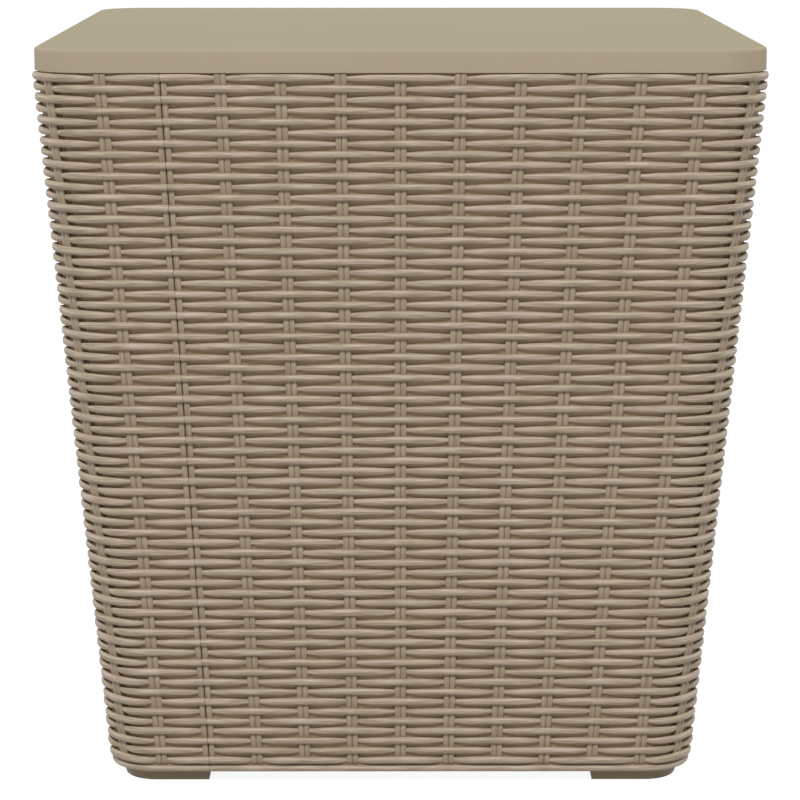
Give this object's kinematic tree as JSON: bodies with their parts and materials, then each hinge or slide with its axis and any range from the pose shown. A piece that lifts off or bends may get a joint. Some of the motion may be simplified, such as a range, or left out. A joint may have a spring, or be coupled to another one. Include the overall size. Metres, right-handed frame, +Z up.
{
  "type": "garden storage table",
  "caption": "Square tapered side table with a rattan-look resin weave and a plain top that lifts off a storage box.",
  "frame": {"origin": "middle of the footprint, on the ground that the feet stand on", "axes": "+Z up, the front face with its seam on the left looks along -Y, +X to the right"},
  "size_m": [0.4202, 0.4202, 0.444],
  "materials": {
    "weave_resin": "moulded rattan look, satin",
    "floor_resin": "moulded, matt",
    "top_resin": "moulded, fine matt grain"
  },
  "bodies": {
    "box": {"front_panel": "weave_resin", "right_panel": "weave_resin", "back_panel": "weave_resin", "left_panel": "weave_resin", "floor_panel": "floor_resin"},
    "top": {"table_top": "top_resin"}
  },
  "joints": [
    {"name": "top_lift", "type": "slide", "parent": "box", "child": "top", "axis": [0, 0, 1], "range_m": [0, 0.25]}
  ]
}
